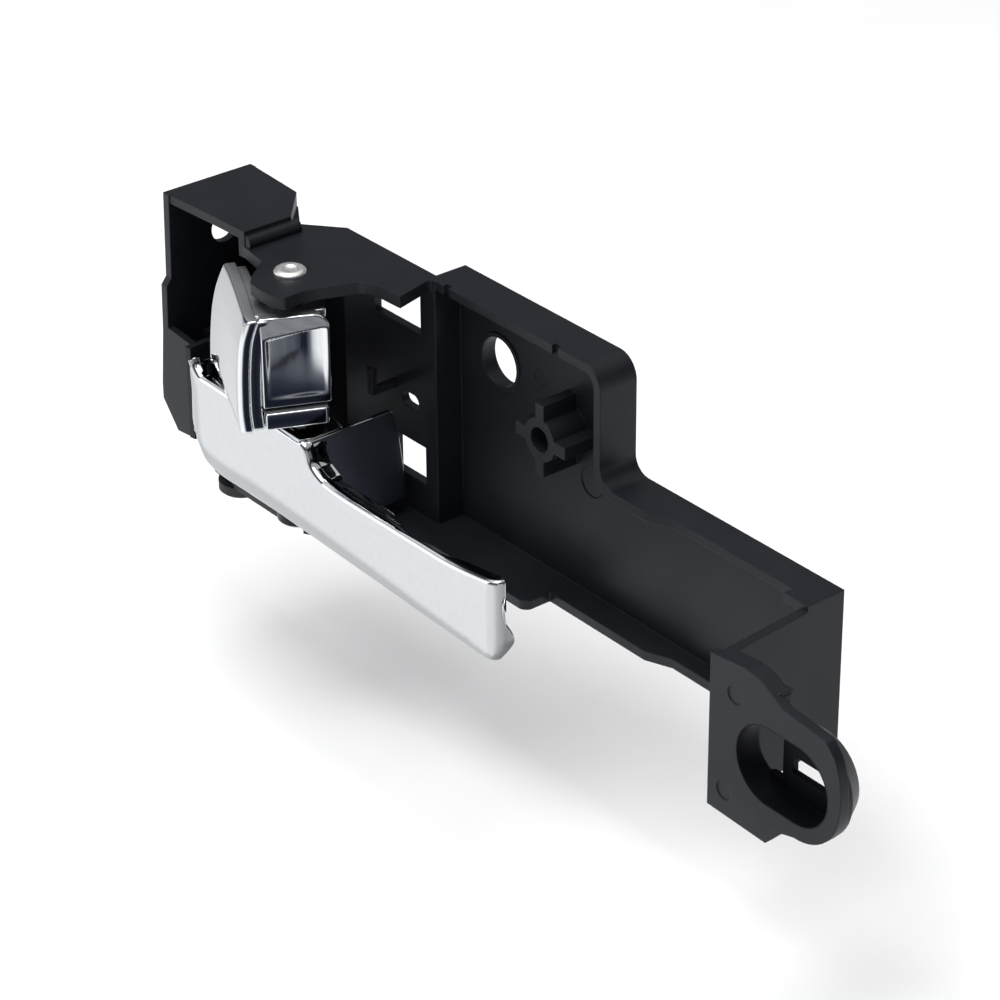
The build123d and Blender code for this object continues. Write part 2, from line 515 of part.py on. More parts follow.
# ---------------------------------------------------------------- lock lever
PAD_R = 10.8          # right edge of the paddle
POCKET = 11.3         # face of the side pocket
LOCK_LOW = -29.2      # underside of the lock lever's body
with BuildPart() as lock_lever:
    # paddle: bowed front, constant skin
    with BuildSketch(lock_side(-19.6)):
        with BuildLine():
            Spline((-11.1, -5.0), (-12.75, -11.0), (-13.4, -18.0), (-13.45, -24.0), (-13.1, -30.0))
            Line((-13.1, -30.0), (-9.6, -30.0))
            Spline((-9.6, -30.0), (-9.9, -24.0), (-9.8, -18.0), (-9.1, -11.0), (-7.4, -5.0))
            Line((-7.4, -5.0), (-11.1, -5.0))
        make_face()
    extrude(amount=PAD_R + 19.6)
    # bowed left edge
    with BuildSketch(lock_front(-5.0)):
        with BuildLine():
            Line((-20.5, -3.0), (-15.6, -3.0))
            Spline((-15.6, -3.0), (-16.9, -7.0), (-18.3, -14.0), (-19.1, -22.0), (-19.3, -31.5))
            Polyline((-19.3, -31.5), (-20.5, -31.5), (-20.5, -3.0))
        make_face()
    extrude(amount=12.0, mode=Mode.SUBTRACT)
    # the rear half of the paddle's right edge is stepped back
    with BuildSketch(lock_side(PAD_R - 0.45)):
        with BuildLine():
            Spline((-9.4, -4.0), (-10.75, -11.0), (-11.5, -18.0), (-11.55, -24.0), (-11.2, -31.0))
            Polyline((-11.2, -31.0), (-6.0, -31.0), (-6.0, -4.0), (-9.4, -4.0))
        make_face()
    extrude(amount=2.0, mode=Mode.SUBTRACT)
    # body with the side pocket
    with BuildSketch(lock_top(-24.9)) as s7:
        with BuildLine():
            Polyline((-4.6, -9.6), (POCKET, -9.6), (POCKET, 5.6), (-2.0, 6.4), (-4.6, 4.0), close=True)
        make_face()
    extrude(amount=19.9)
    fillet(lock_lever.edges().filter_by(lambda e: abs(((e.center().X - PX) * SR + (e.center().Y - PY) * CR) - 6.0) < 0.5
                                        and e.center().Z - PZ > -5.2), 3.0)
    # concave pocket with its crease
    with BuildSketch(lock_top(-22.6)):
        with BuildLine():
            Line((POCKET + 1, -8.4), (POCKET - 0.7, -8.4))
            Spline((POCKET - 0.7, -8.4), (POCKET - 1.5, -2.0), (POCKET - 0.4, 4.9))
            Polyline((POCKET - 0.4, 4.9), (POCKET + 1, 4.9), (POCKET + 1, -8.4))
        make_face()
    extrude(amount=13.6, mode=Mode.SUBTRACT)
    with BuildSketch(lock_side(POCKET - 0.35)):
        with BuildLine():
            Polyline((-8.2, -9.1), (4.6, -8.4), (4.6, -6.4), (3.8, -5.8), (-8.2, -5.8), close=True)
        make_face()
    extrude(amount=2.0, mode=Mode.SUBTRACT)
    # lower block behind a narrow groove
    with BuildSketch(lock_top(-25.6)):
        with BuildLine():
            Polyline((-4.0, -9.6), (10.2, -9.6), (10.2, 4.0), (-3.0, 4.6), close=True)
        make_face()
    extrude(amount=0.8)
    with BuildSketch(lock_top(LOCK_LOW)) as s11:
        with BuildLine():
            Polyline((-4.6, -10.0), (12.6, -10.0), (12.6, 4.4), (-2.0, 5.6), (-4.6, 4.0), close=True)
        make_face()
        fillet(s11.vertices().sort_by_distance((12.6, 4.4, 0))[0], 0.8)
    extrude(amount=-25.5 - LOCK_LOW)
    # hollow between the pocket and the hub, open below
    with BuildSketch(lock_top(LOCK_LOW - 0.2)):
        with BuildLine():
            Polyline((5.6, -8.2), (8.2, -8.2), (8.2, 3.2), (5.6, 3.2), close=True)
        make_face()
    extrude(amount=-7.0 - LOCK_LOW, mode=Mode.SUBTRACT)
    # raised hub, and the crank with the eye for the lock cable
    with BuildSketch(lock_top(-10.0)):
        Circle(4.6)
    extrude(amount=6.4)
    with BuildSketch(lock_top(LOCK_LOW)):
        with BuildLine():
            Polyline((-3.0, -1.6), (-14.4, -1.0), (-15.4, 0.6), (-15.4, 3.4), (-14.4, 4.6), (-3.0, 4.6), close=True)
        make_face()
        with Locations((-12.6, 1.8)):
            Circle(1.3, mode=Mode.SUBTRACT)
    extrude(amount=2.2)
    # pin bore
    with BuildSketch(lock_top(LOCK_LOW - 1.0)):
        Circle(PIN_HOLE_R)
    extrude(amount=28.0, mode=Mode.SUBTRACT)
lock_lever.part.label = "lock_lever"
export_step(lock_lever.part, "parts/lock_lever.step")
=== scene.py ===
import json
import math
import bpy
import bmesh
from mathutils import Matrix, Vector

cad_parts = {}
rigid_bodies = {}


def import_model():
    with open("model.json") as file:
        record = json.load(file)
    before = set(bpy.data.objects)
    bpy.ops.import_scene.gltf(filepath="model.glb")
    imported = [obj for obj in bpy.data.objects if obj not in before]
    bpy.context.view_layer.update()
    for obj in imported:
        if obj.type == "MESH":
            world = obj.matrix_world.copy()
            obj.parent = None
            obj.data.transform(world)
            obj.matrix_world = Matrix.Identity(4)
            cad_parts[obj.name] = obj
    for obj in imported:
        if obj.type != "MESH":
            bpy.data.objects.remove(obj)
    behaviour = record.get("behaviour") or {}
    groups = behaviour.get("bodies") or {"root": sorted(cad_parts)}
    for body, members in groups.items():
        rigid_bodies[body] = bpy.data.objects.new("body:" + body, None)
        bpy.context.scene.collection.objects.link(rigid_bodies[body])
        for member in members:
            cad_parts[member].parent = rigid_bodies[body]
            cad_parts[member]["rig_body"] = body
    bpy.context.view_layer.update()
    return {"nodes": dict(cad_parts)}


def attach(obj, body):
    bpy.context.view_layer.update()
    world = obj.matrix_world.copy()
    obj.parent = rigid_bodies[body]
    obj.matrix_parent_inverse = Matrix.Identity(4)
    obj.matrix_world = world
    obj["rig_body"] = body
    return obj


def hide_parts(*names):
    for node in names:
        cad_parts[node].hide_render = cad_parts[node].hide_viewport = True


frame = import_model()

# pivot axis of the levers, top of the pivot plate, in metres
PV = Vector((-0.0582, -0.0295, 0.0209))
MM = 0.001


# ------------------------------------------------------------ node helpers
def new_mat(name):
    m = bpy.data.materials.new(name)
    m.use_nodes = True
    nt = m.node_tree
    for n in list(nt.nodes):
        nt.nodes.remove(n)
    out = nt.nodes.new("ShaderNodeOutputMaterial")
    bs = nt.nodes.new("ShaderNodeBsdfPrincipled")
    nt.links.new(bs.outputs[0], out.inputs[0])
    return m, nt, bs


def node(nt, kind, **props):
    n = nt.nodes.new(kind)
    for k, v in props.items():
        if k in n.inputs:
            n.inputs[k].default_value = v
        else:
            setattr(n, k, v)
    return n


def link(nt, a, ao, b, bi):
    nt.links.new(a.outputs[ao], b.inputs[bi])


def coords(nt, scale):
    tc = node(nt, "ShaderNodeTexCoord")
    mp = node(nt, "ShaderNodeMapping")
    link(nt, tc, "Object", mp, "Vector")
    mp.inputs["Scale"].default_value = scale
    return mp


def noise(nt, src, scale, detail=2.0, rough=0.5):
    n = node(nt, "ShaderNodeTexNoise")
    n.inputs["Scale"].default_value = scale
    n.inputs["Detail"].default_value = detail
    n.inputs["Roughness"].default_value = rough
    link(nt, src, "Vector", n, "Vector")
    return n


def ramp(nt, src, out, stops):
    r = node(nt, "ShaderNodeValToRGB")
    els = r.color_ramp.elements
    while len(els) < len(stops):
        els.new(0.5)
    for e, (p, c) in zip(els, stops):
        e.position = p
        e.color = c if len(c) == 4 else (*c, 1.0)
    link(nt, src, out, r, "Fac")
    return r


def bump(nt, src, out, strength, dist, prev=None):
    b = node(nt, "ShaderNodeBump")
    b.inputs["Strength"].default_value = strength
    b.inputs["Distance"].default_value = dist
    link(nt, src, out, b, "Height")
    if prev is not None:
        link(nt, prev, "Normal", b, "Normal")
    return b


def grey(v):
    return (v, v, v, 1.0)


# --------------------------------------------------------------- materials
def moulding_material():
    m, nt, bs = new_mat("satin_black_nylon")
    fine = coords(nt, (1, 1, 1))
    n1 = noise(nt, fine, 2600.0, 3.0, 0.6)
    n2 = noise(nt, fine, 90.0, 4.0, 0.6)
    n3 = noise(nt, fine, 26.0, 2.0, 0.5)
    col = ramp(nt, n2, "Fac", [(0.3, (0.0060, 0.0068, 0.0090)), (0.7, (0.0088, 0.0098, 0.0126))])
    # painted shade: the inside of the cup on the tab is darkened and made less shiny by a position mask around the
    # cup's axis, standing in for the shade in that deep recess
    sp = node(nt, "ShaderNodeSeparateXYZ")
    link(nt, fine, "Vector", sp, 0)
    lo = node(nt, "ShaderNodeMath", operation="MAXIMUM")
    lo.inputs[1].default_value = 0.0891
    link(nt, sp, "X", lo, 0)
    hi = node(nt, "ShaderNodeMath", operation="MINIMUM")
    hi.inputs[1].default_value = 0.0966
    link(nt, lo, "Value", hi, 0)
    near = node(nt, "ShaderNodeCombineXYZ")
    near.inputs["Z"].default_value = -0.0234
    link(nt, hi, "Value", near, "X")
    link(nt, sp, "Y", near, "Y")
    away = node(nt, "ShaderNodeVectorMath", operation="DISTANCE")
    link(nt, fine, "Vector", away, 0)
    link(nt, near, "Vector", away, 1)
    cup_shade_mask = node(nt, "ShaderNodeMapRange")
    cup_shade_mask.inputs["From Min"].default_value = 0.0083
    cup_shade_mask.inputs["From Max"].default_value = 0.0086
    nt.links.new(away.outputs["Value"], cup_shade_mask.inputs["Value"])
    col = times(nt, col, ramp(nt, cup_shade_mask, "Result", [(0.0, grey(0.45)), (1.0, (1, 1, 1))]))
    nt.links.new(col.outputs[2], bs.inputs["Base Color"])
    cup_shade_spec = node(nt, "ShaderNodeMapRange")
    cup_shade_spec.inputs["To Min"].default_value = 0.06
    cup_shade_spec.inputs["To Max"].default_value = 0.24
    nt.links.new(cup_shade_mask.outputs["Result"], cup_shade_spec.inputs["Value"])
    nt.links.new(cup_shade_spec.outputs["Result"], bs.inputs["Specular IOR Level"])
    rg = ramp(nt, n3, "Fac", [(0.35, grey(0.36)), (0.65, grey(0.47))])
    link(nt, rg, "Color", bs, "Roughness")
    soft = node(nt, "ShaderNodeBevel", samples=6)
    soft.inputs["Radius"].default_value = 0.00035
    b1 = bump(nt, n3, "Fac", 0.25, 0.0006, soft)
    b2 = bump(nt, n1, "Fac", 0.16, 0.00006, b1)
    link(nt, b2, "Normal", bs, "Normal")
    bs.inputs["Specular IOR Level"].default_value = 0.24
    bs.inputs["Specular Tint"].default_value = (0.86, 0.92, 1.0, 1.0)
    return m


def facing(nt, direction, stops):
    """Grey factor from the angle between the surface and a direction of the piece."""
    tc = node(nt, "ShaderNodeTexCoord")
    dt = node(nt, "ShaderNodeVectorMath", operation="DOT_PRODUCT")
    link(nt, tc, "Normal", dt, 0)
    dt.inputs[1].default_value = direction
    mr = node(nt, "ShaderNodeMapRange")
    mr.inputs["From Min"].default_value = -1.0
    nt.links.new(dt.outputs["Value"], mr.inputs["Value"])
    return ramp(nt, mr, "Result", [((d + 1) / 2, c if isinstance(c, tuple) else grey(c)) for d, c in stops])


def times(nt, a, b):
    m = node(nt, "ShaderNodeMix", data_type="RGBA", blend_type="MULTIPLY")
    m.inputs["Factor"].default_value = 1.0
    nt.links.new(a.outputs[2] if a.bl_idname == "ShaderNodeMix" else a.outputs["Color"], m.inputs[6])
    nt.links.new(b.outputs[2] if b.bl_idname == "ShaderNodeMix" else b.outputs["Color"], m.inputs[7])
    return m


def chrome_material(name="bright_chrome", wave=0.12, painted_shades=(), depth=None, soft=(), lean=None):
    """Chrome plate; its base colour carries painted reflection and painted shade, darkened on faces turned given ways
    and, optionally, towards one side of the piece.
    """
    m, nt, bs = new_mat(name)
    c = coords(nt, (1, 1, 1))
    n1 = noise(nt, c, 34.0, 1.0, 0.4)
    n2 = noise(nt, c, 900.0, 2.0, 0.5)
    n3 = noise(nt, c, 350.0, 3.0, 0.6)
    col = ramp(nt, n2, "Fac", [(0.3, (0.745, 0.765, 0.785)), (0.7, (0.775, 0.795, 0.81))])
    # painted reflection and painted shade: grey factors from the facing of the surface multiply the base colour
    for direction, stops in painted_shades:
        col = times(nt, col, facing(nt, direction, stops))
    if depth:
        # painted shade: the base colour darkens towards the hidden rear of the piece
        axis, lo, hi, rear_shade_col = depth
        sp = node(nt, "ShaderNodeSeparateXYZ")
        link(nt, c, "Vector", sp, 0)
        mr = node(nt, "ShaderNodeMapRange")
        mr.inputs["From Min"].default_value = lo
        mr.inputs["From Max"].default_value = hi
        link(nt, sp, axis, mr, "Value")
        col = times(nt, col, ramp(nt, mr, "Result", [(0.0, (1, 1, 1)), (1.0, rear_shade_col)]))
    nt.links.new(col.outputs[2] if col.bl_idname == "ShaderNodeMix" else col.outputs["Color"], bs.inputs["Base Color"])
    rg = ramp(nt, n3, "Fac", [(0.4, grey(0.035)), (0.75, grey(0.075))])
    for direction, stops in soft:
        mx = node(nt, "ShaderNodeMix", data_type="RGBA", blend_type="LIGHTEN")
        mx.inputs["Factor"].default_value = 1.0
        nt.links.new(rg.outputs[2] if rg.bl_idname == "ShaderNodeMix" else rg.outputs["Color"], mx.inputs[6])
        nt.links.new(facing(nt, direction, stops).outputs["Color"], mx.inputs[7])
        rg = mx
    nt.links.new(rg.outputs[2] if rg.bl_idname == "ShaderNodeMix" else rg.outputs["Color"], bs.inputs["Roughness"])
    first = None
    if lean:
        # the broad front is slightly crowned: its normals lean towards one side above a level
        direction, stops, offset, z0, z1 = lean
        fac = facing(nt, direction, stops)
        sz = node(nt, "ShaderNodeSeparateXYZ")
        link(nt, c, "Vector", sz, 0)
        mz = node(nt, "ShaderNodeMapRange")
        mz.inputs["From Min"].default_value = z0
        mz.inputs["From Max"].default_value = z1
        link(nt, sz, "Z", mz, "Value")
        mm = node(nt, "ShaderNodeMath", operation="MULTIPLY")
        link(nt, fac, "Color", mm, 0)
        link(nt, mz, "Result", mm, 1)
        sc = node(nt, "ShaderNodeVectorMath", operation="SCALE")
        sc.inputs[0].default_value = offset
        link(nt, mm, "Value", sc, "Scale")
        tn = node(nt, "ShaderNodeTexCoord")
        ad = node(nt, "ShaderNodeVectorMath", operation="ADD")
        link(nt, tn, "Normal", ad, 0)
        link(nt, sc, "Vector", ad, 1)
        no = node(nt, "ShaderNodeVectorMath", operation="NORMALIZE")
        link(nt, ad, "Vector", no, 0)
        vt = node(nt, "ShaderNodeVectorTransform", vector_type="NORMAL", convert_from="OBJECT", convert_to="WORLD")
        link(nt, no, "Vector", vt, "Vector")
        first = vt
    b1 = bump(nt, n1, "Fac", wave, 0.0002)
    if first is not None:
        link(nt, first, "Vector", b1, "Normal")
    b2 = bump(nt, n2, "Fac", 0.02, 0.00002, b1)
    link(nt, b2, "Normal", bs, "Normal")
    bs.inputs["Metallic"].default_value = 1.0
    return m


def steel_material(name, base, rough):
    m, nt, bs = new_mat(name)
    c = coords(nt, (1, 1, 1))
    n1 = noise(nt, c, 1500.0, 4.0, 0.6)
    n2 = noise(nt, c, 240.0, 3.0, 0.5)
    col = ramp(nt, n2, "Fac", [(0.3, tuple(x * 0.86 for x in base)), (0.7, base)])
    link(nt, col, "Color", bs, "Base Color")
    rg = ramp(nt, n1, "Fac", [(0.3, grey(rough)), (0.7, grey(rough + 0.12))])
    link(nt, rg, "Color", bs, "Roughness")
    b1 = bump(nt, n1, "Fac", 0.25, 0.00004)
    link(nt, b1, "Normal", bs, "Normal")
    bs.inputs["Metallic"].default_value = 1.0
    return m


def rubber_material():
    m, nt, bs = new_mat("matte_rubber")
    c = coords(nt, (1, 1, 1))
    n1 = noise(nt, c, 1800.0, 3.0, 0.6)
    n2 = noise(nt, c, 200.0, 3.0, 0.6)
    col = ramp(nt, n2, "Fac", [(0.3, (0.012, 0.012, 0.013)), (0.7, (0.022, 0.022, 0.023))])
    link(nt, col, "Color", bs, "Base Color")
    rg = ramp(nt, n1, "Fac", [(0.3, grey(0.62)), (0.7, grey(0.78))])
    link(nt, rg, "Color", bs, "Roughness")
    b1 = bump(nt, n1, "Fac", 0.3, 0.00008)
    link(nt, b1, "Normal", bs, "Normal")
    return m


BLACK = moulding_material()
NAVY = (0.045, 0.052, 0.075, 1.0)
# painted reflection and painted shade on the pull lever: faces turned to the sides and downwards are darkened, and the
# flat front is a little darker than its rounded edges, which read as painted highlights
CHROME = chrome_material("bright_chrome", 0.05,
                         [((1.0, 0.0, 0.0), [(-0.42, 0.55), (-0.10, 0.76), (-0.03, 0.99), (0.1, 1.0), (0.45, 0.66), (0.95, 0.36)]),
                          ((0.0, 0.0, 1.0), [(-0.42, 0.50), (-0.12, 0.68), (-0.02, 0.98), (1.0, 1.0)]),
                          ((0.0, -1.0, 0.0), [(0.0, 1.0), (0.90, 1.0), (0.985, 0.81)])])
# painted reflection and painted shade on the crank: faces turned to +X are darkened to near black, and the colour
# darkens towards its rear; the rougher +X faces are a real finish
CRANK_CHROME = chrome_material("dull_chrome_painted_shade", 0.2,
                               [((1.0, 0.0, 0.0), [(0.0, 1.0), (0.75, 1.0), (0.93, (0.13, 0.14, 0.17, 1.0))])],
                               ("Y", PV.y - 0.006, PV.y + 0.006, (0.6, 0.62, 0.66, 1.0)),
                               soft=[((1.0, 0.0, 0.0), [(0.0, 0.0), (0.8, 0.0), (0.95, 0.5)])])
# painted reflection and painted shade on the lock lever: faces turned to its right side go dark navy, and its top and
# flat front are darkened
LOCK_CHROME = chrome_material("lock_chrome", 0.1,
                              [((0.906, -0.423, 0.0), [(0.3, 1.0), (0.80, 0.97), (0.93, 0.85), (0.953, 0.62), (0.975, (0.16, 0.168, 0.19, 1.0)),
                                                       (0.991, (0.04, 0.044, 0.06, 1.0)), (1.0, (0.010, 0.012, 0.020, 1.0))]),
                               ((0.0, 0.0, 1.0), [(0.0, 1.0), (0.8, 1.0), (0.97, 0.42)]),
                               ((-0.423, -0.906, 0.0), [(0.0, 1.0), (0.80, 1.0), (0.93, 0.60)])],
                              soft=[((0.0, 0.0, 1.0), [(0.0, 0.0), (0.8, 0.0), (0.95, 0.50)]),
                                    ((0.906, -0.423, 0.0), [(0.0, 0.0), (0.85, 0.0), (0.93, 0.14)])],
                              lean=((-0.423, -0.906, 0.0), [(0.0, 0.0), (0.90, 0.0), (0.975, 1.0)], (0.106, -0.050, 0.02),
                                    PV.z - 0.0285, PV.z - 0.0262))
PIN = steel_material("rivet_steel", (0.93, 0.92, 0.90), 0.34)
WIRE = steel_material("spring_wire", (0.42, 0.42, 0.43), 0.3)
RUBBER = rubber_material()


def give(ob, mat):
    if not ob.material_slots:
        ob.data.materials.append(mat)
    for s in ob.material_slots:
        s.material = mat


# ------------------------------------------------------- cleaned CAD skins
def cleaned(name, cad, mat, angle=32):
    """A new mesh of the CAD node's shape with even flat faces and smooth curved ones."""
    src = frame["nodes"][cad]
    me = src.data.copy()
    me.name = name
    ob = bpy.data.objects.new(name, me)
    bpy.context.scene.collection.objects.link(ob)
    bm = bmesh.new()
    bm.from_mesh(me)
    bmesh.ops.remove_doubles(bm, verts=bm.verts, dist=2e-6)
    bmesh.ops.dissolve_limit(bm, angle_limit=math.radians(1.2), verts=bm.verts, edges=bm.edges)
    for f in bm.faces:
        f.smooth = True
    for e in bm.edges:
        e.smooth = not (len(e.link_faces) == 2 and e.calc_face_angle(0.0) > math.radians(angle))
    bm.to_mesh(me)
    bm.free()
    wn = ob.modifiers.new("normals", "WEIGHTED_NORMAL")
    wn.keep_sharp = True
    wn.weight = 90
    dg = bpy.context.evaluated_depsgraph_get()
    done = bpy.data.meshes.new_from_object(ob.evaluated_get(dg))
    ob.modifiers.clear()
    ob.data = done
    done.name = name
    done.materials.clear()
    done.materials.append(mat)
    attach(ob, src["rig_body"])
    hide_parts(cad)
    return ob


house = cleaned("housing_skin", "housing", BLACK)

# -------------------------------------------------- levers as curved plates
from mathutils.geometry import delaunay_2d_cdt


def curve(pts, n=10):
    """Smooth open curve through the points (Catmull-Rom), without its last point."""
    out = []
    P = [Vector(p) for p in pts]
    for i in range(len(P) - 1):
        p0 = P[i - 1] if i > 0 else P[i] * 2 - P[i + 1]
        p1, p2 = P[i], P[i + 1]
        p3 = P[i + 2] if i + 2 < len(P) else P[i + 1] * 2 - P[i]
        for k in range(n):
            t = k / n
            out.append(tuple(0.5 * ((2 * p1) + (p2 - p0) * t + (2 * p0 - 5 * p1 + 4 * p2 - p3) * t * t
                                    + (3 * p1 - p0 - 3 * p2 + p3) * t ** 3)))
    return out


def rounded(pts, r, n=6):
    """Closed polygon with its corners rounded; r is one radius or one per corner."""
    m = len(pts)
    rs = [r] * m if not isinstance(r, (list, tuple)) else r
    out = []
    for i in range(m):
        p = Vector(pts[i])
        a = Vector(pts[i - 1]) - p
        b = Vector(pts[(i + 1) % m]) - p
        la, lb = a.length, b.length
        a.normalize()
        b.normalize()
        ang = a.angle(b)
        if rs[i] <= 0 or ang > math.radians(176):
            out.append(tuple(p))
            continue
        t = min(rs[i] / math.tan(ang / 2), la * 0.49, lb * 0.49)
        rr = t * math.tan(ang / 2)
        c = p + (a + b).normalized() * (rr / math.sin(ang / 2))
        s0 = p + a * t - c
        s1 = p + b * t - c
        tot = s0.angle(s1)
        cr = s0.x * s1.y - s0.y * s1.x
        sg = 1 if cr > 0 else -1
        for k in range(n + 1):
            w = sg * tot * k / n
            out.append((c.x + s0.x * math.cos(w) - s0.y * math.sin(w), c.y + s0.x * math.sin(w) + s0.y * math.cos(w)))
    return out


def resample(pts, step):
    out = []
    m = len(pts)
    for i in range(m):
        p, q = Vector(pts[i]), Vector(pts[(i + 1) % m])
        d = (q - p).length
        if d < 1e-5:
            continue
        n = max(1, int(round(d / step)))
        for k in range(n):
            out.append(tuple(p.lerp(q, k / n)))
    return out


def area2(pts):
    return sum(pts[i - 1][0] * pts[i][1] - pts[i][0] * pts[i - 1][1] for i in range(len(pts))) / 2


def inset(pts, d):
    """The closed polygon (counter-clockwise) moved inwards by d, one number or one per point."""
    m = len(pts)
    ds = d if isinstance(d, list) else [d] * m
    out = []
    for i in range(m):
        p = Vector(pts[i])
        e0 = (p - Vector(pts[i - 1])).normalized()
        e1 = (Vector(pts[(i + 1) % m]) - p).normalized()
        n0, n1 = Vector((-e0.y, e0.x)), Vector((-e1.y, e1.x))
        nn = n0 + n1
        if nn.length < 1e-6:
            nn = n0.copy()
        nn.normalize()
        k = max(0.6, nn.dot(n0))
        out.append(tuple(p + nn * (ds[i] / k)))
    return out


def plate(outline, front, back, rf, rb, place, step=0.8, grid=1.6, seg=5, hole=None):
    """Closed plate: an outline in its plane (mm), a front and a back depth (numbers or functions of the
    two coordinates, front < back), rounded front and back edges. place maps (a, b, depth) to 3-D mm."""
    f1 = front if callable(front) else (lambda a, b: front)
    f2 = back if callable(back) else (lambda a, b: back)
    pts = resample(outline, step)
    if area2(pts) < 0:
        pts.reverse()
    m = len(pts)
    rfs = [rf(*p) if callable(rf) else rf for p in pts]
    loops = []
    for k in range(seg + 1):
        th = math.pi / 2 * k / seg
        ins = [r * (1 - math.sin(th)) for r in rfs]
        loops.append([(q[0], q[1], f1(*q) + r * (1 - math.cos(th))) for q, r in zip(inset(pts, ins), rfs)])
    for k in range(seg + 1):
        th = math.pi / 2 * (1 - k / seg)
        ins = rb * (1 - math.sin(th))
        loops.append([(q[0], q[1], f2(*q) - rb * (1 - math.cos(th))) for q in inset(pts, ins)])
    verts = [v for lp in loops for v in lp]
    faces = []
    for li in range(len(loops) - 1):
        for i in range(m):
            j = (i + 1) % m
            faces.append((li * m + i, li * m + j, (li + 1) * m + j, (li + 1) * m + i))
    # caps: the innermost loop filled with a grid of points
    for which, fn, flip in ((0, f1, False), (len(loops) - 1, f2, True)):
        lp = [(v[0], v[1]) for v in loops[which]]
        xs = [p[0] for p in lp]
        ys = [p[1] for p in lp]
        inner = []
        x = min(xs) + grid / 2
        row = 0
        while x < max(xs):
            y = min(ys) + grid / 2 + (grid / 2 if row % 2 else 0)
            while y < max(ys):
                if inside(lp, x, y, grid * 0.45):
                    inner.append((x, y))
                y += grid
            x += grid * 0.87
            row += 1
        allp = [Vector(p) for p in lp + inner]
        res = delaunay_2d_cdt(allp, [(i, (i + 1) % m) for i in range(m)], [list(range(m))], 1, 1e-7)
        idx = {}
        for k, (co, orig) in enumerate(zip(res[0], res[3])):
            if orig and orig[0] < m:
                idx[k] = which * m + orig[0]
            else:
                idx[k] = len(verts)
                verts.append((co[0], co[1], fn(co[0], co[1])))
        for f in res[2]:
            t = [idx[i] for i in f]
            if len(set(t)) == 3:
                faces.append(tuple(reversed(t)) if not flip else tuple(t))
    return [place(*v) for v in verts], faces


def inside(lp, x, y, gap):
    c = False
    n = len(lp)
    for i in range(n):
        x1, y1 = lp[i - 1]
        x2, y2 = lp[i]
        if (y1 > y) != (y2 > y) and x < (x2 - x1) * (y - y1) / (y2 - y1) + x1:
            c = not c
        if (x1 - x) ** 2 + (y1 - y) ** 2 < gap * gap:
            return False
    return c


def solid(name, parts, mat, body, node_name, levels=0):
    """One piece from several closed plates, in mm about the pivot axis."""
    bm = bmesh.new()
    for verts, faces in parts:
        vs = [bm.verts.new(PV + Vector(v) * MM) for v in verts]
        for f in faces:
            try:
                bm.faces.new([vs[i] for i in f])
            except ValueError:
                pass
    bmesh.ops.recalc_face_normals(bm, faces=bm.faces)
    for f in bm.faces:
        f.smooth = True
    me = bpy.data.meshes.new(name)
    bm.to_mesh(me)
    bm.free()
    ob = bpy.data.objects.new(name, me)
    bpy.context.scene.collection.objects.link(ob)
    me.materials.append(mat)
    if body:
        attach(ob, body)
    if node_name:
        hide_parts(node_name)
    return ob


def on_front(a, b, d):      # outline in X and Z, depth in Y
    return (a, d, b)


def on_top(a, b, d):        # outline in X and Y, depth in -Z (front is the upper face)
    return (a, b, -d)


def on_side(a, b, d):       # outline in Y and Z, depth in -X (front is the right-hand face)
    return (-d, a, b)


def clamp01(t):
    return max(0.0, min(1.0, t))


def smooth(t):
    t = clamp01(t)
    return t * t * (3 - 2 * t)


def interp(x, xs, ys):
    """Monotone smooth interpolation of a table."""
    if x <= xs[0]:
        return ys[0]
    for i in range(len(xs) - 1):
        if x <= xs[i + 1]:
            t = (x - xs[i]) / (xs[i + 1] - xs[i])
            m0 = (ys[i + 1] - ys[max(i - 1, 0)]) / (xs[i + 1] - xs[max(i - 1, 0)])
            m1 = (ys[min(i + 2, len(ys) - 1)] - ys[i]) / (xs[min(i + 2, len(xs) - 1)] - xs[i])
            h = xs[i + 1] - xs[i]
            return ((2 * t ** 3 - 3 * t * t + 1) * ys[i] + (t ** 3 - 2 * t * t + t) * h * m0
                    + (-2 * t ** 3 + 3 * t * t) * ys[i + 1] + (t ** 3 - t * t) * h * m1)
    return ys[-1]


# pull lever ---------------------------------------------------------------
KNEE = [(11.5, -31.05), (13.4, -31.1), (14.9, -32.1), (16.5, -35.2), (19.8, -37.0), (24.0, -37.7), (28.5, -37.9)]
face_line = (
    [(-26.9, -28.3), (-25.7, -27.3)]
    + curve([(-25.7, -27.3), (-24.9, -28.9), (-22.6, -30.4), (-19.0, -30.55)], 6)
    + [(-19.0, -30.55)]
    + curve(KNEE, 8)
    + [(28.5, -37.9), (60.0, -37.7)]
    + curve([(60.0, -37.7), (65.0, -37.35), (70.0, -36.7), (75.0, -35.95)], 5)
    + rounded([(75.0, -35.95), (76.8, -35.7), (76.8, -45.0)], [0, 1.0, 0])
    + curve([(76.8, -50.0), (76.4, -52.6), (75.4, -54.2), (73.2, -54.85)], 5)
    + [(73.2, -54.85), (-4.0, -53.0), (-10.0, -53.15)]
    + curve([(-12.0, -53.2), (-18.0, -53.2), (-23.6, -51.9), (-27.2, -48.6), (-28.4, -44.5)], 6)
    + [(-28.4, -44.5)]
)


def low_edge(x):
    return interp(x, [-28.4, -24.0, -18.0, -10.0, -4.0, 73.0, 76.8], [-46.0, -51.7, -53.2, -53.2, -53.0, -54.85, -54.0])


